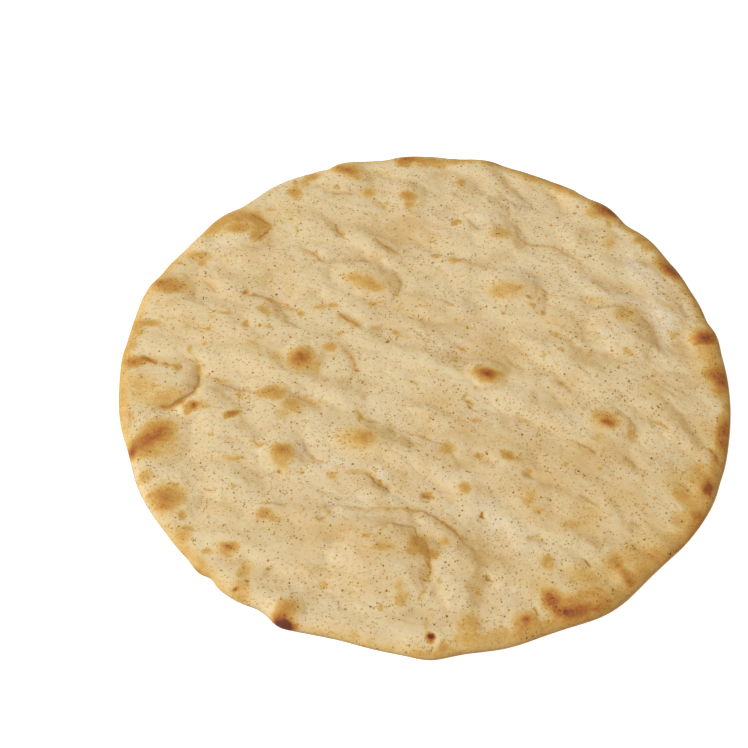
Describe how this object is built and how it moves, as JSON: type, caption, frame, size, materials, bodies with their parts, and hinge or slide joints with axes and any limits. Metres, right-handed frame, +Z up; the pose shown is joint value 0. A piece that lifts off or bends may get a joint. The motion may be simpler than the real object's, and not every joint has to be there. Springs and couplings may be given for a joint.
{
  "type": "pita bread",
  "caption": "Round pocketless pita bread: a soft flat disc with toasted blisters, shallow creases, bran specks and a rounded browned rim.",
  "frame": {"origin": "middle of the bounding box in plan, on the flat underside that the bread rests on", "axes": "+Z up through the thickness, out of the blistered upper crust; +X to the right and +Y away from someone who looks at the bread from its front edge; the bread is nearly round, so X and Y only fix where the toasted marks lie"},
  "size_m": [0.1802, 0.1806, 0.0083],
  "materials": {
    "baked_bread": "matte"
  },
  "bodies": {
    "root": {"pita_bread": "baked_bread"}
  },
  "joints": []
}
